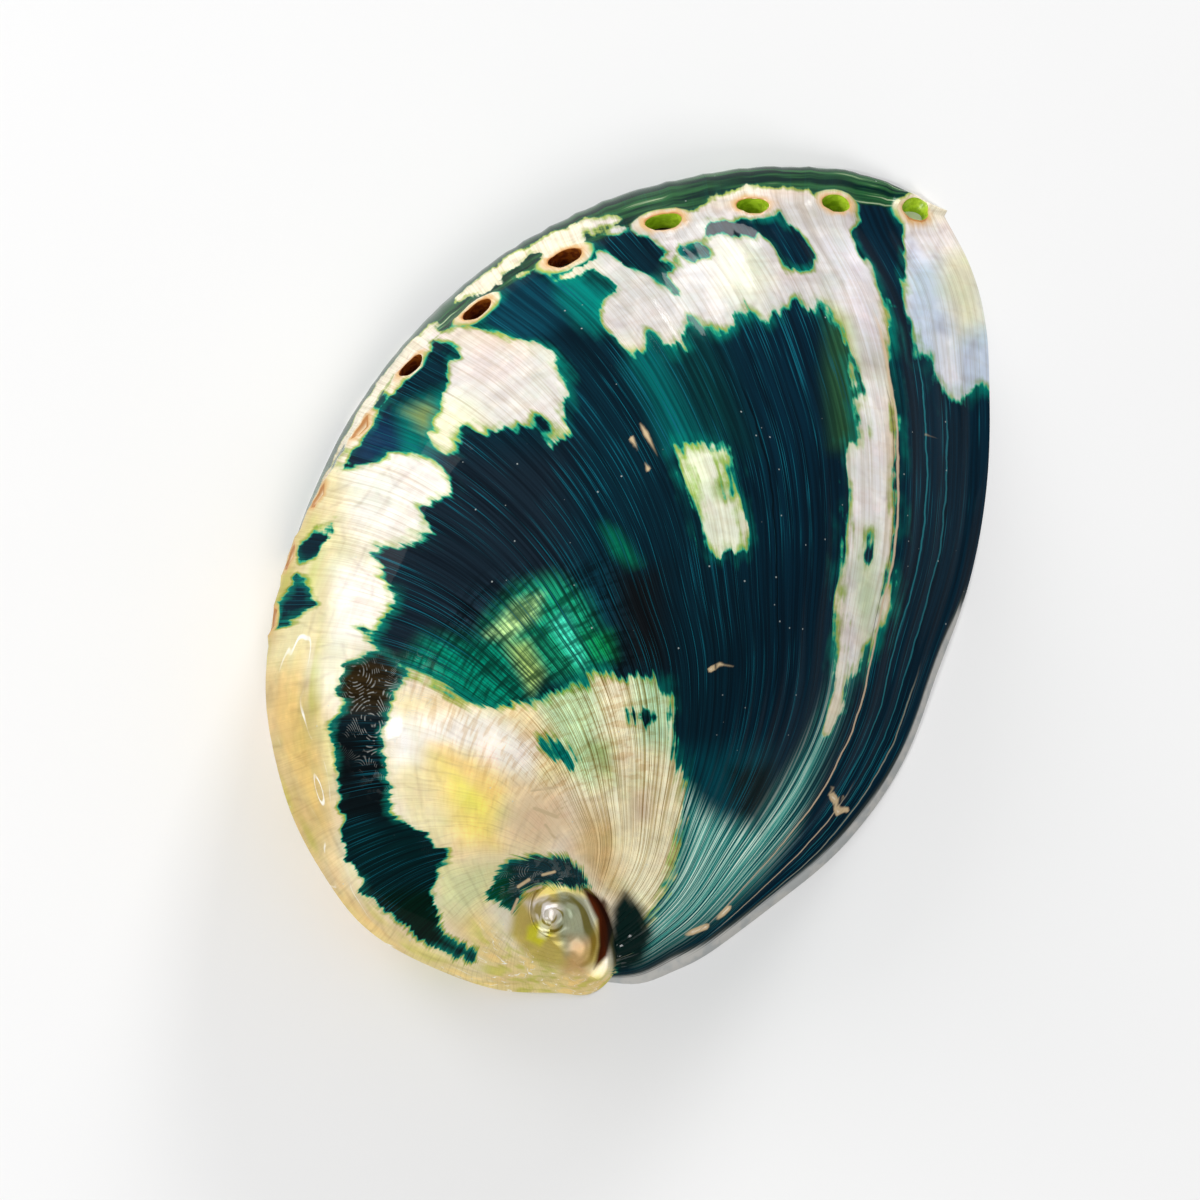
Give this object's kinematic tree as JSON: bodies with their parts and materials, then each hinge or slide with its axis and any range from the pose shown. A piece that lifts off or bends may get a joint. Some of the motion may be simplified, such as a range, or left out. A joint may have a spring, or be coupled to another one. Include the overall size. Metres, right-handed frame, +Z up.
{
  "type": "abalone shell",
  "caption": "Polished oval sea shell, hollow beneath, with a low off-centre spire, a keel pierced by a row of pores, and a flat rim that it lies on.",
  "frame": {"origin": "middle of the bounding box in plan, on the plane of the rim that the shell lies on", "axes": "+Y along the shell's length from the spire to the front, +X towards the outer lip, away from the row of pores, +Z up through the dome"},
  "size_m": [0.0876, 0.1278, 0.0324],
  "materials": {
    "polished_shell": "polished to a glassy gloss: near-black blue-green with pearl and cream windows"
  },
  "bodies": {
    "root": {"abalone_shell": "polished_shell"}
  },
  "joints": []
}
